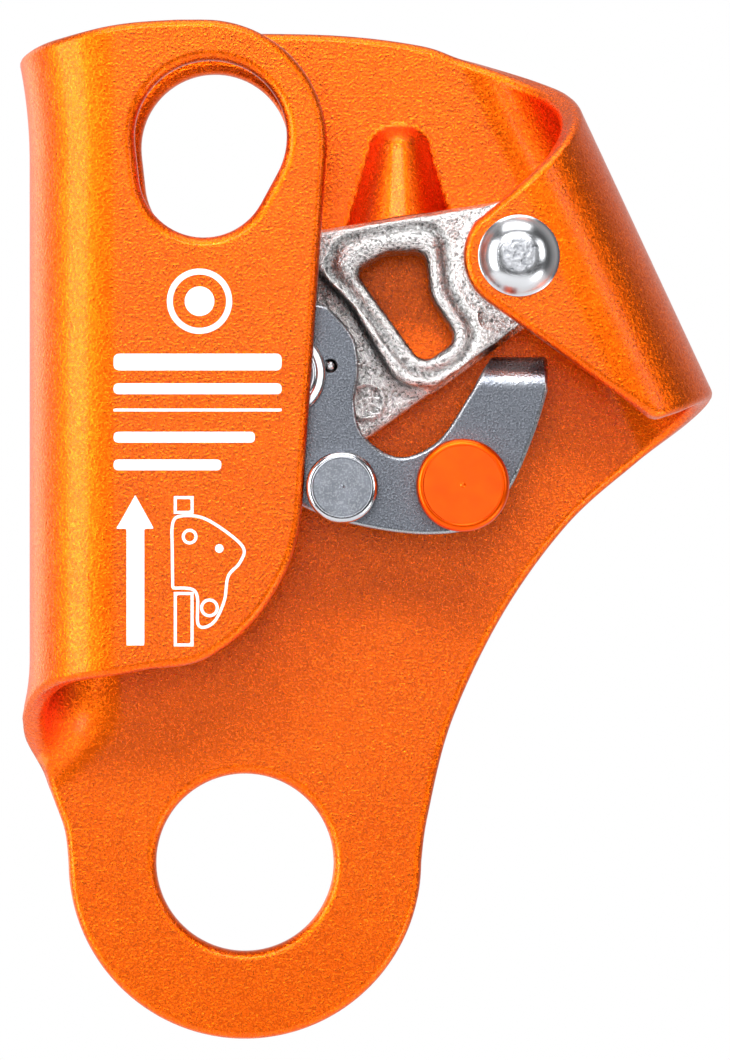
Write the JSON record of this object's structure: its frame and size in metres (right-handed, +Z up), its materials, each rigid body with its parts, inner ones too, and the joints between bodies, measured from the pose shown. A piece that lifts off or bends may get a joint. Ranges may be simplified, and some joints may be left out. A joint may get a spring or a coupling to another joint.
{
  "type": "rope ascender",
  "caption": "Small rope clamp of bent sheet with a curled rope channel, a toothed cam on a rivet, a release lever with two knobs, an upper hole and a lower eye.",
  "frame": {"origin": "on the rope channel's axis, level with the cam's pivot", "axes": "+Z up along the rope, +X from the channel towards the cam's pivot, -Y out of the front flap"},
  "size_m": [0.0717, 0.0229, 0.1048],
  "materials": {
    "orange_anodised": "bead-blasted and anodised satin orange",
    "orange_button": "polished and anodised orange",
    "cast_steel": "plated investment casting, bright and pitted",
    "stamped_steel": "tumbled satin grey",
    "bright_steel": "turned and polished",
    "spring_steel": "drawn wire",
    "bronze": "sintered bush"
  },
  "bodies": {
    "frame": {"frame": "orange_anodised", "cam_rivet": "bright_steel", "front_washer": "spring_steel", "rear_washer": "spring_steel", "cam_spring": "spring_steel"},
    "cam": {"cam": "cast_steel", "cam_bush": "bronze", "lever_rivet": "bright_steel"},
    "lever": {"release_lever": "stamped_steel", "lever_spring": "spring_steel", "stop_knob": "bright_steel", "thumb_button": "orange_button"}
  },
  "joints": [
    {"name": "cam_pivot", "type": "hinge", "parent": "frame", "child": "cam", "pos_m": [0.0403, 0, 0], "axis": [0, -1, 0], "range_deg": [0, 60], "stiffness_Nm_per_rad": 0.05, "springref_deg": -28.65},
    {"name": "lever_pivot", "type": "hinge", "parent": "cam", "child": "lever", "pos_m": [0.0162, 0, -0.0118], "axis": [0, -1, 0], "range_deg": [-40, 0]}
  ],
  "couplings": [
    {"joint": "lever_pivot", "follows": "cam_pivot", "ratio": -0.6666}
  ]
}
